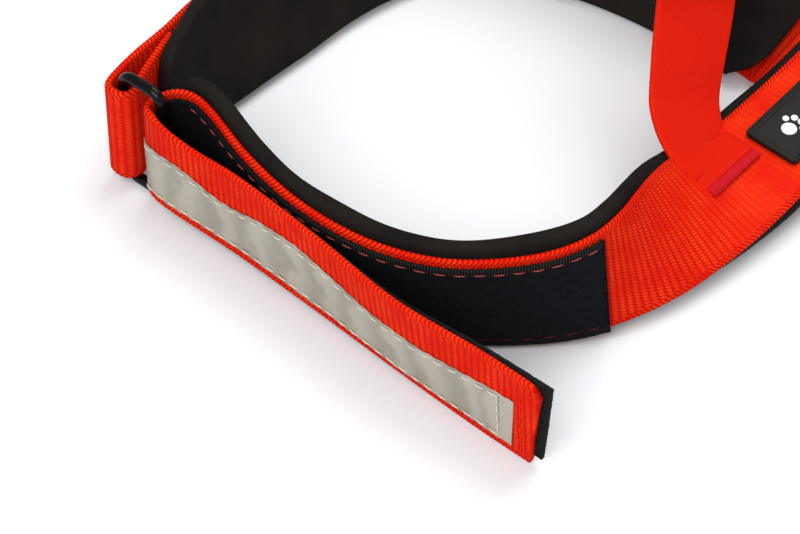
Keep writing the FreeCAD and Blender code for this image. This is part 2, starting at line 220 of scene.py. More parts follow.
nose_rows = ([foot_row(front, FRONT_FOOT, v) for v in FRONT_FOOT_ACROSS] + NOSE_ARCH
             + [foot_row(back, BACK_FOOT, v) for v in BACK_FOOT_ACROSS])
nose = Ribbon([place for place, width in nose_rows], across=[width for place, width in nose_rows])
lapped_rows = [(nose.points(u, 0, LAP)[0], nose.frames(u)[1][0]) for u in LAPPED]
back_rows = lapped_rows + nose_rows[AFTER_LAP:]
nose_back = Ribbon([place for place, width in back_rows],
                   across=[width for place, width in back_rows])

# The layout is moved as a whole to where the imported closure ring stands.
ring_low, ring_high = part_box("closure_ring")
ring_middle = np.array((ring_low + ring_high) / 2) / MM
SHIFT = ring_middle - (LOOP_BAR + FOLD_BAR) / 2
SHIFT[2] = 0.0


def world(points):
    """Millimetres of the layout to metres of the frame."""
    return (np.asarray(points, float) + SHIFT) * MM


# ---- mesh helpers ---------------------------------------------------------


def mesh_object(name, points, faces, material, uv=None, smooth=True):
    """A mesh from millimetre points; uv holds one pair per point, in millimetres."""
    mesh = bpy.data.meshes.new(name)
    mesh.from_pydata([tuple(p) for p in world(points)], [], [tuple(f) for f in faces])
    mesh.validate()
    if uv is not None:
        layer = mesh.uv_layers.new(name="cloth")
        index = np.empty(len(mesh.loops), np.int32)
        mesh.loops.foreach_get("vertex_index", index)
        layer.data.foreach_set("uv", np.asarray(uv, np.float32)[index].ravel())
    mesh.polygons.foreach_set("use_smooth", [smooth] * len(mesh.polygons))
    mesh.materials.append(material)
    obj = bpy.data.objects.new(name, mesh)
    bpy.context.scene.collection.objects.link(obj)
    return obj


def section(low, high, inner, outer, count, rounding):
    """Closed cross-section of a strip: v, out and which side each point is on."""
    rounding = min(rounding, (outer - inner) / 2, (high - low) / 2)
    middle = np.linspace(low + rounding, high - rounding, count)
    turn = np.radians(np.linspace(90, -90, 7))[1:-1]
    half = (outer - inner) / 2
    centre = (outer + inner) / 2
    v = np.concatenate([middle, high - rounding + rounding * np.cos(turn),
                        middle[::-1], low + rounding - rounding * np.cos(turn)])
    out = np.concatenate([np.full(count, outer), centre + half * np.sin(turn),
                          np.full(count, inner), centre - half * np.sin(turn)])
    side = np.concatenate([np.ones(count), np.sin(turn), -np.ones(count), -np.sin(turn)])
    return v, out, side


def strip(name, ribbon, start, stop, low, high, inner, outer, material, step=0.5,
          count=26, rounding=0.6, relief=None, slant=(0.0, 0.0), s_from=None,
          corners=(0.0, 0.0), sway=None, inset=None):
    """Closed soft strip along a ribbon. relief(s, v, side) adds millimetres outward,
    sway(s, across) millimetres of width, inset(u) moves it inward; s counts from
    s_from, or from the start. slant and corners are for its two ends: how far an
    end runs on across the width, and the radius of its corners."""
    s0, s1 = ribbon.length_at(start), ribbon.length_at(stop)
    rings = max(3, int((s1 - s0) / step) + 1)
    v, out, side = section(low, high, inner, outer, count, rounding)
    across = (v - (low + high) / 2) / (high - low)
    f = np.linspace(0, 1, rings)[:, None]
    s = s0 + (s1 - s0) * f + across[None, :] * (slant[0] * (1 - f) + slant[1] * f)
    grid_v = np.broadcast_to(v, s.shape).copy()
    grid_side = np.broadcast_to(side, s.shape)
    grid_out = np.broadcast_to(out, s.shape).copy()
    s_used = s - (s0 if s_from is None else s_from)
    for radius, gone in zip(corners, (s - s[0].min(), s[-1].max() - s)):
        if radius:
            left = np.clip(radius - gone, 0, radius)
            cut = radius - np.sqrt(radius**2 - left**2)
            grid_v -= across[None, :] * 2 * cut
    if sway is not None:
        grid_v += sway(s_used, across[None, :])
    if relief is not None:
        grid_out += relief(s_used, grid_v, grid_side)
    u = np.interp(s.ravel(), ribbon.table_s, ribbon.table_u)
    if inset is not None:
        grid_out -= inset(u).reshape(s.shape)
    points = ribbon.points(u, grid_v.ravel(), grid_out.ravel())
    n = len(v)
    ring_index = np.arange(n)
    following = np.roll(ring_index, -1)
    faces = []
    for r in range(rings - 1):
        a, b = r * n, (r + 1) * n
        faces.extend(zip(a + ring_index, b + ring_index, b + following, a + following))
    faces.append(tuple(range(n)))
    faces.append(tuple(range(len(points) - 1, len(points) - 1 - n, -1)))
    uv = np.stack([s_used.ravel(), grid_v.ravel()], axis=1)
    return mesh_object(name, points, faces, material, uv)


def ring_faces(base, rings, sides):
    """Quads that join each ring of points to the next one."""
    faces = []
    for a in range(base, base + (rings - 1) * sides, sides):
        for j in range(sides):
            k = (j + 1) % sides
            faces.append((a + j, a + k, a + sides + k, a + sides + j))
    return faces


def tube(name, path, radius, material, sides=20):
    """Round wire along a closed path of millimetre points."""
    along = unit(np.roll(path, -1, 0) - np.roll(path, 1, 0))
    normal = unit(np.cross(along[0], [0.31, 0.52, 0.79]))
    angle = np.linspace(0, 2 * math.pi, sides, endpoint=False)
    points = []
    for p, t in zip(path, along):
        normal = unit(normal - t * normal.dot(t))
        other = np.cross(t, normal)
        points.extend(p + radius * (math.cos(a) * normal + math.sin(a) * other) for a in angle)
    faces = ring_faces(0, len(path), sides)
    last = len(points) - sides
    for j in range(sides):
        k = (j + 1) % sides
        faces.append((last + j, last + k, k, j))
    return mesh_object(name, points, faces, material)


STITCH_RINGS, STITCH_SIDES = 7, 8
STITCH_SINK = 0.05


def stitches(name, ribbon, runs, material, radius, long, follow=None):
    """Thread stitches: each run is (u start, u stop, v start, v stop, out, count).
    follow(s, v) moves them with a straying edge."""
    points, faces = [], []
    rng = np.random.RandomState(len(name))
    hump = np.sin(np.linspace(0.12, math.pi - 0.12, STITCH_RINGS))
    thick = radius * (0.55 + 0.45 * np.sin(np.linspace(0, math.pi, STITCH_RINGS)))
    for u0, u1, v0, v1, out, count in runs:
        s0, s1 = ribbon.length_at(u0), ribbon.length_at(u1)
        half = long / 2 / math.hypot(s1 - s0, v1 - v0)
        for i in range(count):
            mid = (i + 0.5) / count
            share = np.linspace(mid - half, mid + half, STITCH_RINGS)
            s = s0 + (s1 - s0) * share
            v = v0 + (v1 - v0) * share + rng.uniform(-0.08, 0.08)
            if follow is not None:
                v = follow(s, v)
            u = np.interp(s, ribbon.table_s, ribbon.table_u)
            path = ribbon.points(u, v, out + radius * 0.9 * hump - STITCH_SINK)
            base = len(points)
            along = unit(np.gradient(path, axis=0))
            for p, t, n, r in zip(path, along, ribbon.frames(u)[2], thick):
                side = unit(np.cross(t, n))
                n = np.cross(side, t)
                for k in range(STITCH_SIDES):
                    a = 2 * math.pi * k / STITCH_SIDES
                    points.append(p + r * (math.cos(a) * n + math.sin(a) * side))
            faces.extend(ring_faces(base, STITCH_RINGS, STITCH_SIDES))
            last = len(points) - STITCH_SIDES
            faces.append(tuple(base + k for k in reversed(range(STITCH_SIDES))))
            faces.append(tuple(last + k for k in range(STITCH_SIDES)))
    return mesh_object(name, points, faces, material)


# ---- materials ------------------------------------------------------------


class Nodes:
    """Shorthand for building one material's node tree."""

    def __init__(self, name):
        self.material = bpy.data.materials.new(name)
        self.material.use_nodes = True
        self.tree = self.material.node_tree
        self.tree.nodes.clear()
        self.output = self.tree.nodes.new("ShaderNodeOutputMaterial")
        self.shader = self.tree.nodes.new("ShaderNodeBsdfPrincipled")
        self.link(self.shader.outputs[0], self.output.inputs[0])

    def link(self, a, b):
        self.tree.links.new(a, b)

    def new(self, kind, **settings):
        node = self.tree.nodes.new(kind)
        for key, value in settings.items():
            setattr(node, key, value)
        return node

    def put(self, socket, value):
        if isinstance(value, bpy.types.NodeSocket):
            self.link(value, socket)
        elif value is not None:
            socket.default_value = value

    def math(self, operation, a, b=None):
        node = self.new("ShaderNodeMath", operation=operation)
        self.put(node.inputs[0], a)
        self.put(node.inputs[1], b)
        return node.outputs[0]

    def cloth(self):
        """Separate u and v of the cloth map, in millimetres."""
        uv = self.new("ShaderNodeUVMap", uv_map="cloth")
        split = self.new("ShaderNodeSeparateXYZ")
        self.link(uv.outputs[0], split.inputs[0])
        return split.outputs[0], split.outputs[1]

    def wave(self, value, pitch):
        """Sine of a value with the given pitch."""
        return self.math("SINE", self.math("MULTIPLY", value, 2 * math.pi / pitch))

    def noise(self, scale, detail, rough=0.55):
        node = self.new("ShaderNodeTexNoise")
        node.inputs["Scale"].default_value = scale
        node.inputs["Detail"].default_value = detail
        node.inputs["Roughness"].default_value = rough
        place = self.new("ShaderNodeTexCoord").outputs["Object"]
        self.link(place, node.inputs["Vector"])
        return node.outputs["Fac"]

    def mix(self, factor, a, b):
        node = self.new("ShaderNodeMix", data_type="RGBA")
        self.put(node.inputs["Factor"], factor)
        self.put(node.inputs["A"], a)
        self.put(node.inputs["B"], b)
        return node.outputs["Result"]

    def ramp(self, value, low, high):
        """0 up to the low value, 1 from the high one."""
        node = self.new("ShaderNodeMapRange")
        node.inputs["From Min"].default_value = low
        node.inputs["From Max"].default_value = high
        self.link(value, node.inputs["Value"])
        return node.outputs["Result"]

    def bump(self, height, distance, strength):
        node = self.new("ShaderNodeBump")
        node.inputs["Distance"].default_value = distance
        node.inputs["Strength"].default_value = strength
        self.link(height, node.inputs["Height"])
        self.link(node.outputs[0], self.shader.inputs["Normal"])

    def finish(self, color, rough, specular=0.5, metallic=0.0):
        inputs = self.shader.inputs
        self.put(inputs["Base Color"], color)
        inputs["Roughness"].default_value = rough
        inputs["Specular IOR Level"].default_value = specular
        inputs["Metallic"].default_value = metallic
        return self.material


RIB_PITCH = 1.7
YARN_PITCH = 0.75
BRAID_PITCH = 1.05
BRAID_WIDE = 1.3
# Webbing reds: the darkest is painted shade for the grooves between ribs and yarns, the brightest a
# painted highlight on the crests.
GROOVE_SHADE_RED = (0.36, 0.004, 0.002, 1)
RED = (0.66, 0.013, 0.003, 1)
CREST_HIGHLIGHT_RED = (0.84, 0.075, 0.010, 1)
FLAT_RED = (0.52, 0.009, 0.003, 1), (0.63, 0.015, 0.004, 1)
LINING_BLACK = (0.0065, 0.0054, 0.0048, 1), (0.0140, 0.0112, 0.0096, 1)
HOOK_BLACK = (0.003, 0.003, 0.0035, 1), (0.022, 0.022, 0.024, 1)
LOOP_BLACK = (0.0025, 0.0027, 0.0035, 1), (0.010, 0.0105, 0.014, 1)
# Painted highlight on the ticks of the loop strip's woven edge.
WOVEN_EDGE_HIGHLIGHT = (0.042, 0.034, 0.028, 1)
# Tape greys, mixed by a random tone and by painted light and shade of the creases.
TAPE_GREY = (0.27, 0.25, 0.20, 1), (0.37, 0.345, 0.285, 1)


def ribbed_red(name, fade=None):
    """Woven webbing: cross ribs wrapped by slanting yarns, and braided edges. The
    ribs are pressed flat between the two lengths given as fade."""
    n = Nodes(name)
    u, v = n.cloth()
    rib = n.math("MULTIPLY", u, 1 / RIB_PITCH)
    crest = n.math("ABSOLUTE", n.math("SINE", n.math("MULTIPLY", rib, math.pi)))
    slant = n.math("MULTIPLY", n.math("FRACT", n.math("ADD", rib, 500.0)), 3.6)
    uneven = n.math("MULTIPLY", n.noise(420.0, 2.0), 2.4)
    wave = n.math("ADD", n.math("MULTIPLY", v, 2 * math.pi / YARN_PITCH), slant)
    yarn = n.math("SINE", n.math("ADD", wave, uneven))
    yarn = n.math("ADD", n.math("MULTIPLY", yarn, 0.5), 0.5)
    fibre = n.noise(2600.0, 2.0)
    # Random patches where the crests get a painted highlight.
    glint_patches = n.noise(160.0, 3.0)
    height = n.math("ADD", n.math("MULTIPLY", crest, 0.38), n.math("MULTIPLY", yarn, 0.36))
    height = n.math("ADD", height, n.math("MULTIPLY", fibre, 0.22))
    if fade:
        flat = n.math("MULTIPLY", n.ramp(u, *fade), 0.8)
        height = n.math("ADD", n.math("MULTIPLY", height, n.math("SUBTRACT", 1.0, flat)),
                        n.math("MULTIPLY", flat, 0.6))
    from_edge = n.math("SUBTRACT", EDGE, n.math("ABSOLUTE", v))
    chevron = n.math("ADD", u, n.math("MULTIPLY", from_edge, 0.9))
    braid = n.math("ADD", n.math("MULTIPLY", n.wave(chevron, BRAID_PITCH), 0.3), 0.5)
    at_edge = n.math("LESS_THAN", from_edge, BRAID_WIDE)
    height = n.math("ADD", n.math("MULTIPLY", height, n.math("SUBTRACT", 1.0, at_edge)),
                    n.math("MULTIPLY", braid, at_edge))
    n.bump(height, 0.00032, 0.8)
    # The colour follows the relief: painted shade in the low grooves, and a painted highlight on the
    # crests in patches.
    base = n.mix(n.ramp(height, 0.12, 0.72), GROOVE_SHADE_RED, RED)
    glint = n.math("MULTIPLY", n.ramp(height, 0.45, 0.95), n.ramp(glint_patches, 0.35, 0.65))
    color = n.mix(n.math("MULTIPLY", glint, 0.75), base, CREST_HIGHLIGHT_RED)
    return n.finish(color, 0.6, specular=0.02)


def smooth_red():
    """Fine flat webbing of the nose strap."""
    n = Nodes("smooth_red_webbing")
    u, v = n.cloth()
    weave = n.math("MULTIPLY", n.wave(v, 0.7), n.wave(u, 0.9))
    fibre = n.noise(2200.0, 2.0)
    height = n.math("ADD", n.math("MULTIPLY", weave, 0.3), fibre)
    n.bump(height, 0.00010, 0.7)
    return n.finish(n.mix(n.ramp(height, 0.1, 1.0), *FLAT_RED), 0.65, specular=0.02)


def neoprene():
    """Knitted face of the lining, unevenly dark."""
    n = Nodes("black_neoprene")
    knit = n.noise(1500.0, 3.0)
    broad = n.noise(60.0, 3.0)
    n.bump(n.math("ADD", knit, n.math("MULTIPLY", broad, 0.5)), 0.00012, 0.6)
    return n.finish(n.mix(n.ramp(broad, 0.3, 0.7), *LINING_BLACK), 0.85, specular=0.07)


def hook_pile():
    """Coarse pile of the hook fastener."""
    n = Nodes("black_hook_pile")
    coarse = n.noise(1900.0, 4.0, 0.75)
    fine = n.noise(5890.0, 2.0, 0.7)
    height = n.math("ADD", coarse, n.math("MULTIPLY", fine, 0.6))
    n.bump(height, 0.0005, 1.0)
    return n.finish(n.mix(n.ramp(height, 0.6, 1.0), *HOOK_BLACK), 0.9, specular=0.08)


def loop_pile():
    """Brushed loops, with a finely woven edge above the stitching."""
    n = Nodes("black_loop_pile")
    u, v = n.cloth()
    coarse = n.noise(1500.0, 4.0, 0.75)
    edge = n.math("MULTIPLY", n.math("GREATER_THAN", v, LOOP_TOP - 1.6), n.ramp(u, 25.0, 60.0))
    woven = n.math("MULTIPLY", n.math("MULTIPLY", n.wave(u, 0.6), edge), 0.6)
    n.bump(n.math("ADD", coarse, woven), 0.0004, 1.0)
    brushed = n.mix(n.ramp(coarse, 0.3, 0.7), *LOOP_BLACK)
    # The woven edge's ticks are painted lighter on their crests, a painted highlight.
    lit = n.math("MULTIPLY", n.ramp(woven, -0.1, 0.6), edge)
    return n.finish(n.mix(lit, brushed, WOVEN_EDGE_HIGHLIGHT), 0.9, specular=0.06)


def reflective():
    """Grey glass-bead tape, softly creased."""
    n = Nodes("reflective_tape")
    u, _ = n.cloth()
    grain = n.noise(4200.0, 2.0)
    broad = n.noise(110.0, 3.0)
    n.bump(n.math("ADD", n.math("MULTIPLY", grain, 0.3), broad), 0.0003, 0.5)
    # The colour runs lighter and darker in bands across the tape: painted light and shade of its
    # creases, over a random broad tone.
    bent = n.math("ADD", n.math("MULTIPLY", u, 0.62), n.math("MULTIPLY", broad, 9.0))
    shade = n.math("ADD", broad, n.math("MULTIPLY", n.math("SINE", bent), 0.2))
    return n.finish(n.mix(n.ramp(shade, 0.3, 0.7), *TAPE_GREY), 0.42, metallic=0.25)


def plain(name, color, rough, metallic=0.0):
    """One colour, without relief."""
    return Nodes(name).finish(color, rough, metallic=metallic)


def grained(name, color, rough, specular, scale, distance, strength):
    """One colour with a fine grain."""
    n = Nodes(name)
    n.bump(n.noise(scale, 2.0), distance, strength)
    return n.finish(color, rough, specular=specular)


def thread(name, color):
    """Sewing thread."""
    return grained(name, color, 0.65, 0.1, 3500.0, 0.0001, 0.6)


WEBBING = ribbed_red("ribbed_red_webbing")
NOSE_WEBBING = smooth_red()
NEOPRENE = neoprene()
LOOP_PILE = loop_pile()
HOOK_PILE = hook_pile()
TAPE = reflective()
WHITE_THREAD = thread("white_thread", (0.54, 0.51, 0.43, 1))
# The loop strip's rows are one red thread: the top row is painted pinkish as a highlight, the low
# row painted dark as shade.
HIGHLIT_LOOP_THREAD = thread("highlit_loop_thread", (0.42, 0.07, 0.05, 1))
RED_THREAD = thread("red_thread", (0.70, 0.012, 0.006, 1))
TACK_THREAD = thread("dark_red_thread", (0.46, 0.005, 0.010, 1))
SHADED_LOOP_THREAD = thread("shaded_loop_thread", (0.10, 0.006, 0.006, 1))
DARK_THREAD = thread("dark_thread", (0.02, 0.02, 0.022, 1))
WIRE = grained("gloss_black_wire", (0.002, 0.002, 0.003, 1), 0.12, 0.15, 500.0, 0.00004, 0.4)
STEEL = plain("polished_steel", (0.62, 0.62, 0.64, 1), 0.18, metallic=1.0)
RUBBER = grained("label_rubber", (0.014, 0.013, 0.011, 1), 0.5, 0.1, 1800.0, 0.00005, 0.6)
WHITE_RUBBER = plain("white_rubber", (0.82, 0.82, 0.82, 1), 0.45)
PLASTIC = plain("black_plastic", (0.010, 0.010, 0.011, 1), 0.35)

# ---- soft pieces ----------------------------------------------------------

PAD_EDGE = PAD_WIDE / 2
PAD_OUT = -(HALF + GAP)
PAD_IN = PAD_OUT - PAD_THICK
TAPE_LOW, TAPE_TOP, TAPE_FACE = -10.6, 3.4, HALF + GAP + 0.2
TAPE_START, TAPE_END = 1.0, 7.47
SEAM_START, SEAM_END = 1.25, 7.3
LOOP_FACE = HALF + GAP + 0.9
LOOP_START, LOOP_END = 0.5, 10.2
HOOK_START, HOOK_END, HOOK_HALF = 2.6, 7.86, 11.5
FRONT_LINED = (1.5, 17.28)
BACK_LINED = (7.1, 16.7)


def done(obj, body, slot, *nodes):
    """The piece stands for its CAD nodes, which it hides, and moves with their body; slot is not
    used.
    """
    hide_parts(*nodes)
    if body is not None:
        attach(obj, body)
    return obj


NO_FADE = (1e6, 2e6)


def ribs(depth, fade=NO_FADE):
    """Rounded ribs across the web, pressed flatter between the lengths in fade."""
    def relief(s, v, side):
        crest = np.abs(np.sin(math.pi * s / RIB_PITCH))
        inside = np.clip((EDGE - np.abs(v)) / 1.6, 0, 1)
        return side * depth * inside * np.interp(s, fade, (1.0, 0.3)) * (crest - 0.6)
    return relief


def selvedge(s, across):
    """The web's braided edges step in and out."""
    return across * 0.22 * np.abs(np.sin(math.pi * s / BRAID_PITCH + 0.6))


def puffed(thick, wobble, seed):
    """Fuller in the middle of the width, with slow uneven waves."""
    phases = np.random.RandomState(seed).uniform(0, 6.28, 3)

    def relief(s, v, side):
        waves = (np.sin(s / 7.3 + phases[0]) + 0.6 * np.sin(s / 3.7 + phases[1])
                 + 0.5 * np.sin(s / 15.1 + phases[2]))
        fuller = -thick * (1 - (v / PAD_EDGE) ** 2)
        return np.where(side < 0, fuller + wobble * waves, 0.0)
    return relief


# One length of web makes the front band and, turned back through the ring, the strap.
TURN = len(CLOSURE) - 1
turned = np.array(CLOSURE[:0:-1], float) * [1, 1, 1, -1]
meeting = (np.array(CLOSURE[0], float) + np.array(FRONT[0], float)) / 2
long_web = banded(np.vstack([turned, meeting, np.array(FRONT[1:], float)]), 1)
FOLD_END = 2.4


def bend_at_fold(obj):
    """Bakes the piece's placement into its mesh; the piece is not bent."""
    start, stop = world(closure.points([0.0, FOLD_END], 0, 0))
    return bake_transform(obj)


# The front web is pressed smooth between these stations, towards the nose strap's foot.
PRESSED = (12.0, 14.4)


def red_web():
    """The front band and the strap; the ribs run on from one to the other."""
    fade = [float(long_web.length_at(TURN + u)) for u in PRESSED]
    band = strip("front_web_ribbed", long_web, TURN, TURN + WEB_END, -EDGE, EDGE,
                 -HALF, HALF, ribbed_red("pressed_red_webbing", fade), step=0.35,
                 relief=ribs(0.13, fade), sway=selvedge, s_from=0.0)
    done(band, "neck_band", "webbing", "front_web")
    strap = strip("strap_web_ribbed", long_web, TURN - STRAP_END, TURN, -EDGE, EDGE,
                  -HALF, HALF, WEBBING, step=0.35, relief=ribs(0.13), sway=strap_edges,
                  corners=(3.5, 0.0), slant=(-3.0, 0.0), s_from=0.0)
    bend_at_fold(strap)
    done(strap, None, "webbing", "closure_strap", "strap_fold")


def strap_edges(s, across):
    """The strap's upper edge dips a little where it leaves the ring."""
    dip = np.where(across > 0, -1.0 * np.exp(-((s - 101) / 9) ** 2), 0.0)
    return selvedge(s, across) + 2 * across * dip


def back_web():
    """The back band, round the ring and on beneath the front band."""
    web = strip("back_web_ribbed", back, 0.0, back.last, -EDGE, EDGE, -HALF, HALF, WEBBING,
                step=0.35, relief=ribs(0.14), sway=selvedge)
    return done(web, "neck_band", "webbing", "back_web")


def taller(s, across):
    """The front lining stands higher above the web along its middle and near its end,
    and less far below it near its end."""
    middle = 1.1 * np.exp(-((s - 98) / 36) ** 2)
    end = 1.2 * np.clip((s - 130) / 25, 0, 1)
    top = middle + end + 0.2 * np.sin(s / 6.5)
    low = -1.2 * np.clip((s - 105) / 25, 0, 1)
    return 2 * across * np.where(across > 0, top, low)


# The back lining stands off the web where the web's sewn tail lies: stations, distances.
LINING_CLEARANCE = ((7.1, 7.5, 7.95, 8.4, 8.9), (4.1, 3.3, 2.5, 1.1, 0.0))


def linings():
    """Neoprene linings of the front and the back band."""
    pad = strip("front_lining", front, *FRONT_LINED, -PAD_EDGE, PAD_EDGE, PAD_IN, PAD_OUT,
                NEOPRENE, step=0.8, count=30, rounding=1.1, relief=puffed(0.35, 0.14, 3),
                corners=(1.0, 2.0), sway=taller)
    done(pad, "neck_band", "neoprene", "front_pad")
    pad = strip("back_lining", back, *BACK_LINED, -PAD_EDGE, PAD_EDGE, PAD_IN, PAD_OUT,
                NEOPRENE, step=0.8, count=30, rounding=1.1, relief=puffed(0.35, 0.14, 5),
                corners=(9.0, 8.0), inset=lambda u: np.interp(u, *LINING_CLEARANCE))
    done(pad, "neck_band", "neoprene", "back_pad")


FIBRE_HEIGHTS = (0.0, 0.35, 0.7, 1.0)
FIBRE_TURNS = (0.0, 2.1, 4.2)


def fuzz(name, ribbon, spans, material, count, long, seed):
    """Short curved fibres; each span is (u0, u1, v0, v1, out, toward) it grows from."""
    rng = np.random.RandomState(seed)
    fibres = []
    for u0, u1, v0, v1, out, toward in spans:
        u = rng.uniform(u0, u1, count)
        v = rng.uniform(v0, v1, count)
        p, width, normal = ribbon.frames(u)
        root = p + width * v[:, None] + normal * out
        grow = normal * toward[0] + width * toward[1]
        along = np.cross(normal, width)
        a = rng.uniform(-1, 1, (count, 2))
        way = unit(grow + along * a[:, :1] * 0.8 + width * a[:, 1:] * 0.5)
        tilt = unit(along * a[:, 1:] + width * a[:, :1] + 0.01)
        aside = np.cross(way, tilt)
        size = long * rng.uniform(0.4, 1.0, count)[:, None]
        thick = rng.uniform(0.03, 0.055, count)[:, None]
        corners = []
        for f in FIBRE_HEIGHTS:
            centre = root + way * size * f + tilt * size * 0.5 * f * f
            r = thick * (1 - 0.5 * f)
            corners += [centre + r * (math.cos(t) * tilt + math.sin(t) * aside) for t in FIBRE_TURNS]
        fibres.append(np.stack(corners, axis=1).reshape(-1, 3))
    points = np.vstack(fibres)
    rings, sides = len(FIBRE_HEIGHTS), len(FIBRE_TURNS)
    faces = []
    for base in range(0, len(points), rings * sides):
        faces.extend(ring_faces(base, rings, sides))
    return mesh_object(name, points, faces, material)


ROUGH_CELLS = 997


def rough_face(seed, depth):
    """Small random steps over the face of a pile."""
    table = np.random.RandomState(seed).uniform(-1, 1, (ROUGH_CELLS,))

    def relief(s, v, side):
        cell = (np.floor(s * 3.1) * 31 + np.floor(v * 3.3) * 17).astype(int) % ROUGH_CELLS
        return side * depth * table[cell]
    return relief


def hook_edge(s, across):
    """The hook strip runs off line: lowest where the strap dips, above the web at its free end."""
    rise = np.interp(s, (0, 10, 24, 60, 85, 110), (-1.6, -2.0, -1.1, -0.8, 0.6, 1.5))
    return np.where(across > 0, 2 * across, 0.0) * rise


def fastener():
    """Hook strip under the closure strap and loop strip on the band."""
    hook = strip("hook_pile_strip", closure, HOOK_START, HOOK_END, -HOOK_HALF, HOOK_HALF,
                 -(HALF + GAP) - 1.0, -(HALF + GAP), HOOK_PILE, step=0.5, count=40,
                 rounding=0.3, relief=rough_face(2, 0.10), slant=(0.0, 3.0), sway=hook_edge)
    done(hook, "closure", "hook_tape", "hook_strip")
    loop = strip("loop_pile_strip", front, LOOP_START, LOOP_END, LOOP_LOW, LOOP_TOP, HALF + GAP,
                 LOOP_FACE, LOOP_PILE, step=0.5, count=40, rounding=0.35,
                 relief=rough_face(4, 0.08))
    done(loop, "neck_band", "loop_tape", "loop_strip")
    hook_fuzz = fuzz("hook_fibres", closure,
                     [(4.0, 5.6, 10.0, 10.7, -1.0, (0.1, 0.9)),
                      (5.6, 7.75, 11.2, 12.4, -1.0, (0.1, 0.9)),
                      (HOOK_START, 7.75, -HOOK_HALF, 9.4, -1.7, (-1.0, 0.1))],
                     HOOK_PILE, 900, 0.8, 7)
    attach(hook_fuzz, "closure")
    loop_fuzz = fuzz("loop_fibres", front,
                     [(LOOP_START, LOOP_END, LOOP_LOW, LOOP_TOP - 2.5, LOOP_FACE - 0.1, (0.8, 0.1)),
                      (LOOP_END - 0.06, LOOP_END, LOOP_LOW, LOOP_TOP, LOOP_FACE - 0.3, (0.7, 0.1))],
                     LOOP_PILE, 1400, 0.55, 9)
    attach(loop_fuzz, "neck_band")


def tape_waves(s, v, side):
    """Soft creases across the tape."""
    creases = np.sin(s / 2.9 + 0.25 * v) * np.sin(s / 7.7 + 1.0)
    return np.where(side > 0, 0.12 * creases, 0.05 * creases) + 0.02


# How far the tape's edges stray from straight: lengths, millimetres across the web.
STRAY_TOP = ((0, 12, 24, 37, 47, 58, 68, 82, 95, 108),
             (-0.4, 0.9, -1.2, 1.3, 2.2, 1.0, -0.4, -0.8, 0.2, 1.3))
STRAY_LOW = ((0, 12, 45, 75, 105), (0.2, 0.9, 1.2, 0.7, 1.0))


def tape_shift(s, across):
    """How far the tape's line at this share of its width strays from straight."""
    lengths, strays = STRAY_TOP
    at = np.interp(s.ravel(), lengths, range(len(lengths)))
    top = through(np.array(strays)[:, None], at).reshape(s.shape)
    return (0.5 + across) * top + (0.5 - across) * np.interp(s, *STRAY_LOW)


def tape_edges(s, across):
    """Both edges stray, and ripple between the stitches."""
    return tape_shift(s, across) + across * 0.25 * np.sin(s / 0.56)


def tape():
    """Reflective tape on the strap, bent round the ring's bar with it."""
    piece = strip("grey_tape", closure, TAPE_START, TAPE_END, TAPE_LOW, TAPE_TOP, HALF + 0.05,
                  TAPE_FACE, TAPE, step=0.4, count=24, rounding=0.08, relief=tape_waves,
                  slant=(0.0, 0.9), sway=tape_edges)
    bend_at_fold(piece)
    return done(piece, None, "reflective", "reflective_tape", "tape_fold")


def count_at(ribbon, u0, u1, pitch):
    """How many stitches of this pitch fit between two stations."""
    return int((ribbon.length_at(u1) - ribbon.length_at(u0)) / pitch)


def tape_seam():
    """White stitches along both of the tape's edges and across its end."""
    out = TAPE_FACE + 0.12
    n = count_at(closure, SEAM_START, SEAM_END, 3.5)
    rows = [(SEAM_START, SEAM_END, v, v, out, n) for v in (TAPE_LOW + 1.0, TAPE_TOP - 0.9)]
    rows.append((7.27, 7.27, TAPE_LOW + 1.6, TAPE_TOP - 0.6, out, 4))
    begin = closure.length_at(TAPE_START)

    def follow(s, v):
        across = (v - (TAPE_LOW + TAPE_TOP) / 2) / (TAPE_TOP - TAPE_LOW)
        return v + tape_shift(s - begin, across)
    seam = stitches("tape_thread", closure, rows, WHITE_THREAD, 0.20, 2.4, follow=follow)
    bend_at_fold(seam)
    done(seam, None, "white_thread", "tape_stitching")


def web_sewing():
    """The strap's hem, the loop strip's rows and the tack behind the ring."""
    rows = [(7.58, 7.58, -10.5, 10.5, HALF + 0.2, 7)]
    done(stitches("end_thread", closure, rows, RED_THREAD, 0.2, 2.2), "closure", "red_thread",
         "strap_end_stitching")
    stop = LOOP_END - 0.1
    # The top row carries a painted highlight and the low row painted shade.
    for name, colour, start, v in (
            ("loop_thread_top", HIGHLIT_LOOP_THREAD, LOOP_START + 1.4, LOOP_TOP - 1.4),
            ("loop_thread_low", SHADED_LOOP_THREAD, LOOP_END - 2.2, LOOP_LOW + 2.2)):
        rows = [(start, stop, v, v, LOOP_FACE + 0.04, count_at(front, start, stop, 3.9))]
        done(stitches(name, front, rows, colour, 0.12, 2.3), "neck_band", "red_thread",
             "loop_stitching")
    rows = [(8.0, 8.0, -10, 10, HALF + 0.25, 12)]
    done(stitches("ring_thread", back, rows, TACK_THREAD, 0.25, 1.5), "neck_band", "red_thread",
         "ring_loop_tack")


# ---- closure ring ---------------------------------------------------------

RING_LONG, RING_HIGH, RING_BEND, RING_WIRE = 11.0, 29.2, 3.0, 2.6


def bent_wire(origin, along, up, long, high, radius):
    """Rounded rectangle of a bent wire, from a bar through origin."""
    centres = [(radius, -high / 2 + radius, 180), (long - radius, -high / 2 + radius, 270),
               (long - radius, high / 2 - radius, 0), (radius, high / 2 - radius, 90)]
    path = []
    for a, b, begin in centres:
        for turn in np.radians(np.linspace(begin, begin + 90, 9)):
            path.append(origin + along * (a + radius * math.cos(turn))
                        + up * (b + radius * math.sin(turn)))
    return even(path, 160)


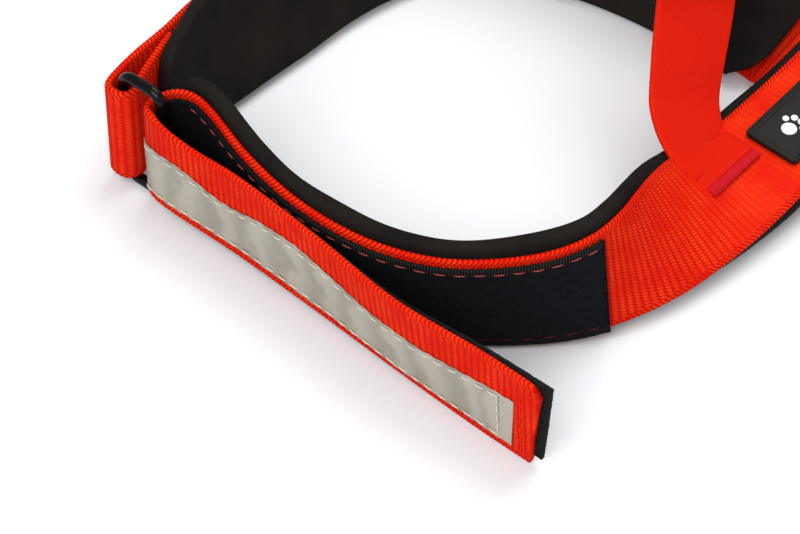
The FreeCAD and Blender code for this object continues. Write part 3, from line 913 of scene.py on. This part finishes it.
def even(path, count):
    """A closed path with equal steps."""
    path = np.vstack([path, path[:1]])
    s = np.concatenate([[0], np.cumsum(np.linalg.norm(np.diff(path, axis=0), axis=1))])
    at = np.linspace(0, s[-1], count, endpoint=False)
    return np.stack([np.interp(at, s, path[:, k]) for k in range(3)], axis=1)


def ring():
    """Bent wire from the back web's loop to the strap's fold."""
    along = unit(FOLD_BAR - LOOP_BAR)
    path = bent_wire(LOOP_BAR, along, UP, RING_LONG, RING_HIGH, RING_BEND)
    wire = tube("bent_ring", path, RING_WIRE / 2, WIRE)
    return done(wire, "ring", "black_wire", "closure_ring")


# ---- label ----------------------------------------------------------------

LABEL_FACE = HALF + GAP + LABEL_THICK


def label():
    """A plate with a raised, grooved rim."""
    half = LABEL_WIDE / 2
    s0, s1 = front.length_at(LABEL_START), front.length_at(LABEL_END)

    def rim(s, v, side):
        edge = np.minimum(np.minimum(s, s1 - s0 - s), half - np.abs(v - LABEL_V))
        sunk = np.where(edge > 1.7, -0.45, 0.0)
        groove = np.where((edge > 0.7) & (edge < 1.0), -0.3, 0.0)
        return np.where(side > 0, sunk + groove, 0.0)
    plate = strip("moulded_label", front, LABEL_START, LABEL_END, LABEL_V - half, LABEL_V + half,
                  HALF + GAP, LABEL_FACE, RUBBER, step=0.15, count=90, rounding=0.3, relief=rim,
                  corners=(0.8, 0.8))
    done(plate, "neck_band", "label_rubber", "label")


DISC_SIDES = 28
DISC_PROFILE = ((1.0, 0.0), (1.0, 0.35), (0.9, 0.47), (0.0, 0.5))


def button(u, v, radius):
    """Points and faces of a low rounded disc standing on the label."""
    p, width, normal = (a[0] for a in front.frames(u))
    along = np.cross(normal, width)
    centre = p + width * (LABEL_V + v) + normal * (LABEL_FACE - 0.5)
    turns = np.linspace(0, 2 * math.pi, DISC_SIDES, endpoint=False)
    points = []
    for share, high in DISC_PROFILE:
        points.extend(centre + share * radius * (math.cos(t) * along + math.sin(t) * width)
                      + normal * high for t in turns)
    faces = ring_faces(0, len(DISC_PROFILE), DISC_SIDES)
    faces.append(tuple(reversed(range(DISC_SIDES))))
    return points, faces


# One paw: station and height of each disc from the paw's middle, and its radius.
PAW = ((-0.055, 0, 1.75), (0.044, -2.2, 0.75), (0.11, -0.85, 0.8), (0.11, 0.95, 0.8),
       (0.044, 2.3, 0.75))


def motif():
    """Three raised paw prints in a row along the label."""
    points, faces = [], []
    for middle in (15.68, 16.18, 16.68):
        for du, v, radius in PAW:
            more, made = button(middle + du, v, radius)
            faces += [tuple(i + len(points) for i in f) for f in made]
            points += more
    done(mesh_object("paw_motif", points, faces, WHITE_RUBBER), "neck_band", "white_rubber",
         "label_motif")


def label_sewing():
    """Stitches along both long edges of the label."""
    start, stop = 15.36, 17.0
    edge = LABEL_WIDE / 2 - 0.9
    n = count_at(front, start, stop, 2.6)
    rows = [(start, stop, LABEL_V + v, LABEL_V + v, LABEL_FACE - 0.1, n) for v in (edge, -edge)]
    done(stitches("label_thread", front, rows, DARK_THREAD, 0.18, 1.9), "neck_band",
         "dark_thread", "label_stitching")


# ---- nose strap -----------------------------------------------------------


def nose_straps():
    """Both lengths of the nose strap, and the bar tacks that hold their feet."""
    for name, ribbon, start, stop in (("nose_strap_front", nose, NOSE_START, NOSE_LAP_END),
                                      ("nose_strap_back", nose_back, 0.0, nose_back.last)):
        piece = strip(name + "_web", ribbon, start, stop, -NOSE_EDGE, NOSE_EDGE, -NOSE_HALF,
                      NOSE_HALF, NOSE_WEBBING, step=0.5, rounding=0.5, corners=(0.8, 0.8))
        done(piece, "neck_band", "nose_webbing", name)
    for name, ribbon, u in (("nose_front_tack", nose, 0.35),
                            ("nose_back_tack", nose_back, nose_back.last - 0.5)):
        done(tack(name + "_thread", ribbon, u), "neck_band", "red_thread", name)


TACK_REACH, TACK_COUNT, TACK_LEAN = 9.0, 46, 0.12


def tack(name, ribbon, u):
    """Dense zigzag sewing in a bar across the strap."""
    runs = []
    for i in range(TACK_COUNT):
        v = -TACK_REACH + 2 * TACK_REACH * (i + 0.5) / TACK_COUNT
        lean = TACK_LEAN if i % 2 else -TACK_LEAN
        runs.append((u - 0.2, u + 0.2, v - lean, v + lean, NOSE_HALF + 0.05, 1))
    return stitches(name, ribbon, runs, TACK_THREAD, 0.33, 2.6)


BLOCK_FACES = ((0, 3, 2, 1), (4, 5, 6, 7), (0, 1, 5, 4), (1, 2, 6, 5), (2, 3, 7, 6), (3, 0, 4, 7))


def slider():
    """Rails, a bar between the layers and two end bars."""
    p, width, normal = (a[0] for a in nose.frames(SLIDER_AT))
    along = np.cross(normal, width)
    bar, deep, long = 2.4, 1.4, 17.0
    rail = NOSE_EDGE + 0.8
    reach = rail + 0.1
    top = LAP + NOSE_HALF + 0.25
    blocks = [(rail, rail + bar, -0.9, top + deep, -long / 2, long / 2),
              (-rail - bar, -rail, -0.9, top + deep, -long / 2, long / 2),
              (-reach, reach, NOSE_HALF + 0.2, LAP - NOSE_HALF - 0.2, -bar / 2, bar / 2)]
    for middle in (-(long - bar) / 2, (long - bar) / 2):
        blocks.append((-reach, reach, top, top + deep, middle - bar / 2, middle + bar / 2))
    points, faces = [], []
    for v0, v1, n0, n1, a0, a1 in blocks:
        base = len(points)
        for a in (a0, a1):
            for v, n in ((v0, n0), (v1, n0), (v1, n1), (v0, n1)):
                points.append(p + width * v + normal * n + along * a)
        faces += [tuple(base + i for i in f) for f in BLOCK_FACES]
    obj = mesh_object("moulded_slider", points, faces, PLASTIC, smooth=False)
    bevel = obj.modifiers.new("rounded", "BEVEL")
    bevel.width = 0.35 * MM
    bevel.segments = 3
    return done(obj, "slider", "moulded_plastic", "nose_slider")


# ---- leash ring and tab ---------------------------------------------------


TAB_HALF, TAB_REACH, TAB_OVER = 9.0, 8.4, 2.75
LEASH_WIRE, LEASH_HALF, LEASH_SIDE, LEASH_BEND = 3.2, 13.0, 6.0, 3.0


def leash_frame():
    """At the leash ring's bar: place, the band's width direction and normal, and the way
    off the band's end."""
    place, width, normal = (a[0] for a in front.frames(LEASH_BAR_U))
    out = unit(np.cross(width, normal))
    return place, width, normal, (out if out[0] > 0 else -out)


def leash_tab():
    """Web folded round the ring's bar, with its ends above and below the band."""
    place, width, normal, out = leash_frame()
    lift = HALF + GAP + NOSE_HALF + 0.05
    over = TAB_OVER
    spots = [(-TAB_REACH, lift), (-TAB_REACH / 2, lift), (-1.6, over * 0.9), (0.6, over),
             (over * 0.8, over * 0.6), (over, 0.0), (over * 0.8, -over * 0.6),
             (0.6, -over), (-1.6, -over * 0.9), (-TAB_REACH / 2, -lift), (-TAB_REACH + 1.0, -lift)]
    tab = Ribbon([place + out * a + normal * b for a, b in spots], across=[-width] * len(spots))
    done(strip("leash_tab_web", tab, 0, tab.last, -TAB_HALF, TAB_HALF, -NOSE_HALF, NOSE_HALF,
               NOSE_WEBBING, step=0.4, rounding=0.5), "neck_band", "nose_webbing", "leash_tab")
    return tab


def leash_ring():
    """D-shaped ring that rests with its round end on the ground."""
    place, _, _, out = leash_frame()
    level = unit(out * np.array([1, 1, 0]))
    cross = unit(np.cross(UP, level))
    half, side, bend = LEASH_HALF, LEASH_SIDE, LEASH_BEND
    drop = math.asin((place[2] - LEASH_WIRE / 2) / (side + half))
    reach = level * math.cos(drop) - UP * math.sin(drop)
    path = [place - cross * (half - bend), place + cross * (half - bend)]
    for t in np.radians(np.linspace(-90, 0, 9)):
        path.append(place + cross * (half - bend + bend * math.cos(t))
                    + reach * (bend + bend * math.sin(t)))
    for t in np.radians(np.linspace(0, 180, 33)):
        path.append(place + cross * half * math.cos(t) + reach * (side + half * math.sin(t)))
    for t in np.radians(np.linspace(180, 270, 9)):
        path.append(place + cross * (-half + bend + bend * math.cos(t))
                    + reach * (bend + bend * math.sin(t)))
    wire = tube("leash_ring_wire", even(path, 180), LEASH_WIRE / 2, STEEL)
    return done(wire, "leash", "steel", "leash_ring")


def leash_tacks(tab):
    """A row of short stitches across each end of the tab."""
    rows = []
    count, reach = 12, 7.5
    for u in (0.19, 0.81):
        for i in range(count):
            v = -reach + 2 * reach * (i + 0.5) / count
            rows.append((u, u, v - 0.6, v + 0.6, NOSE_HALF + 0.15, 1))
    done(stitches("leash_thread", tab, rows, TACK_THREAD, 0.22, 1.15), "neck_band",
         "red_thread", "leash_tab_tack")


red_web()
back_web()
linings()
fastener()
tape()
tape_seam()
web_sewing()
ring()
label()
motif()
label_sewing()
nose_straps()
slider()
tab_web = leash_tab()
leash_ring()
leash_tacks(tab_web)

# ---- floor, light and camera ----------------------------------------------

FLOOR_COLOUR = (0.76, 0.775, 0.795, 1)
SKY_STRENGTH = 0.62
ELEVATION, DISTANCE = 46.0, 0.750
SENSOR_WIDTH, LENS = 36.0, 158.6


def floor():
    """Plain pale ground at height zero."""
    bpy.ops.mesh.primitive_plane_add(size=6.0, location=(0, 0, 0))
    plane = bpy.context.object
    plane.name = "floor"
    material = bpy.data.materials.new("pale_floor")
    material.use_nodes = True
    shader = material.node_tree.nodes["Principled BSDF"]
    shader.inputs["Base Color"].default_value = FLOOR_COLOUR
    shader.inputs["Roughness"].default_value = 0.9
    shader.inputs["Specular IOR Level"].default_value = 0.1
    plane.data.materials.append(material)


def area_light(name, location, size, power):
    """Square light aimed at the middle of the part."""
    data = bpy.data.lights.new(name, "AREA")
    data.shape = "SQUARE"
    data.size = size
    data.energy = power
    lamp = bpy.data.objects.new(name, data)
    bpy.context.scene.collection.objects.link(lamp)
    lamp.location = location
    lamp.rotation_euler = (-Vector(location)).to_track_quat("-Z", "Y").to_euler()


def studio():
    """Even white sky, a soft light from behind on the right and one from the front left."""
    sky = bpy.data.worlds.new("studio")
    bpy.context.scene.world = sky
    sky.use_nodes = True
    background = sky.node_tree.nodes["Background"]
    background.inputs["Color"].default_value = (1, 1, 1, 1)
    background.inputs["Strength"].default_value = SKY_STRENGTH
    area_light("key", (0.25, 0.30, 0.85), 0.6, 5.0)
    area_light("fill", (-0.3, -0.60, 0.65), 0.7, 7.0)
    view = bpy.context.scene.view_settings
    view.view_transform = "Standard"
    view.look = "None"


def camera():
    """The photo's view: from the front and above, aimed at the layout's origin."""
    data = bpy.data.cameras.new("camera")
    data.sensor_width = SENSOR_WIDTH
    data.lens = LENS
    data.clip_start = 0.01
    cam = bpy.data.objects.new("camera", data)
    bpy.context.scene.collection.objects.link(cam)
    target = Vector(world(np.zeros(3)))
    tilt = math.radians(ELEVATION)
    away = Vector((0, -math.cos(tilt), math.sin(tilt)))
    cam.location = target + away * DISTANCE
    cam.rotation_euler = (math.pi / 2 - tilt, 0, 0)
    bpy.context.scene.camera = cam


floor()
studio()
camera()
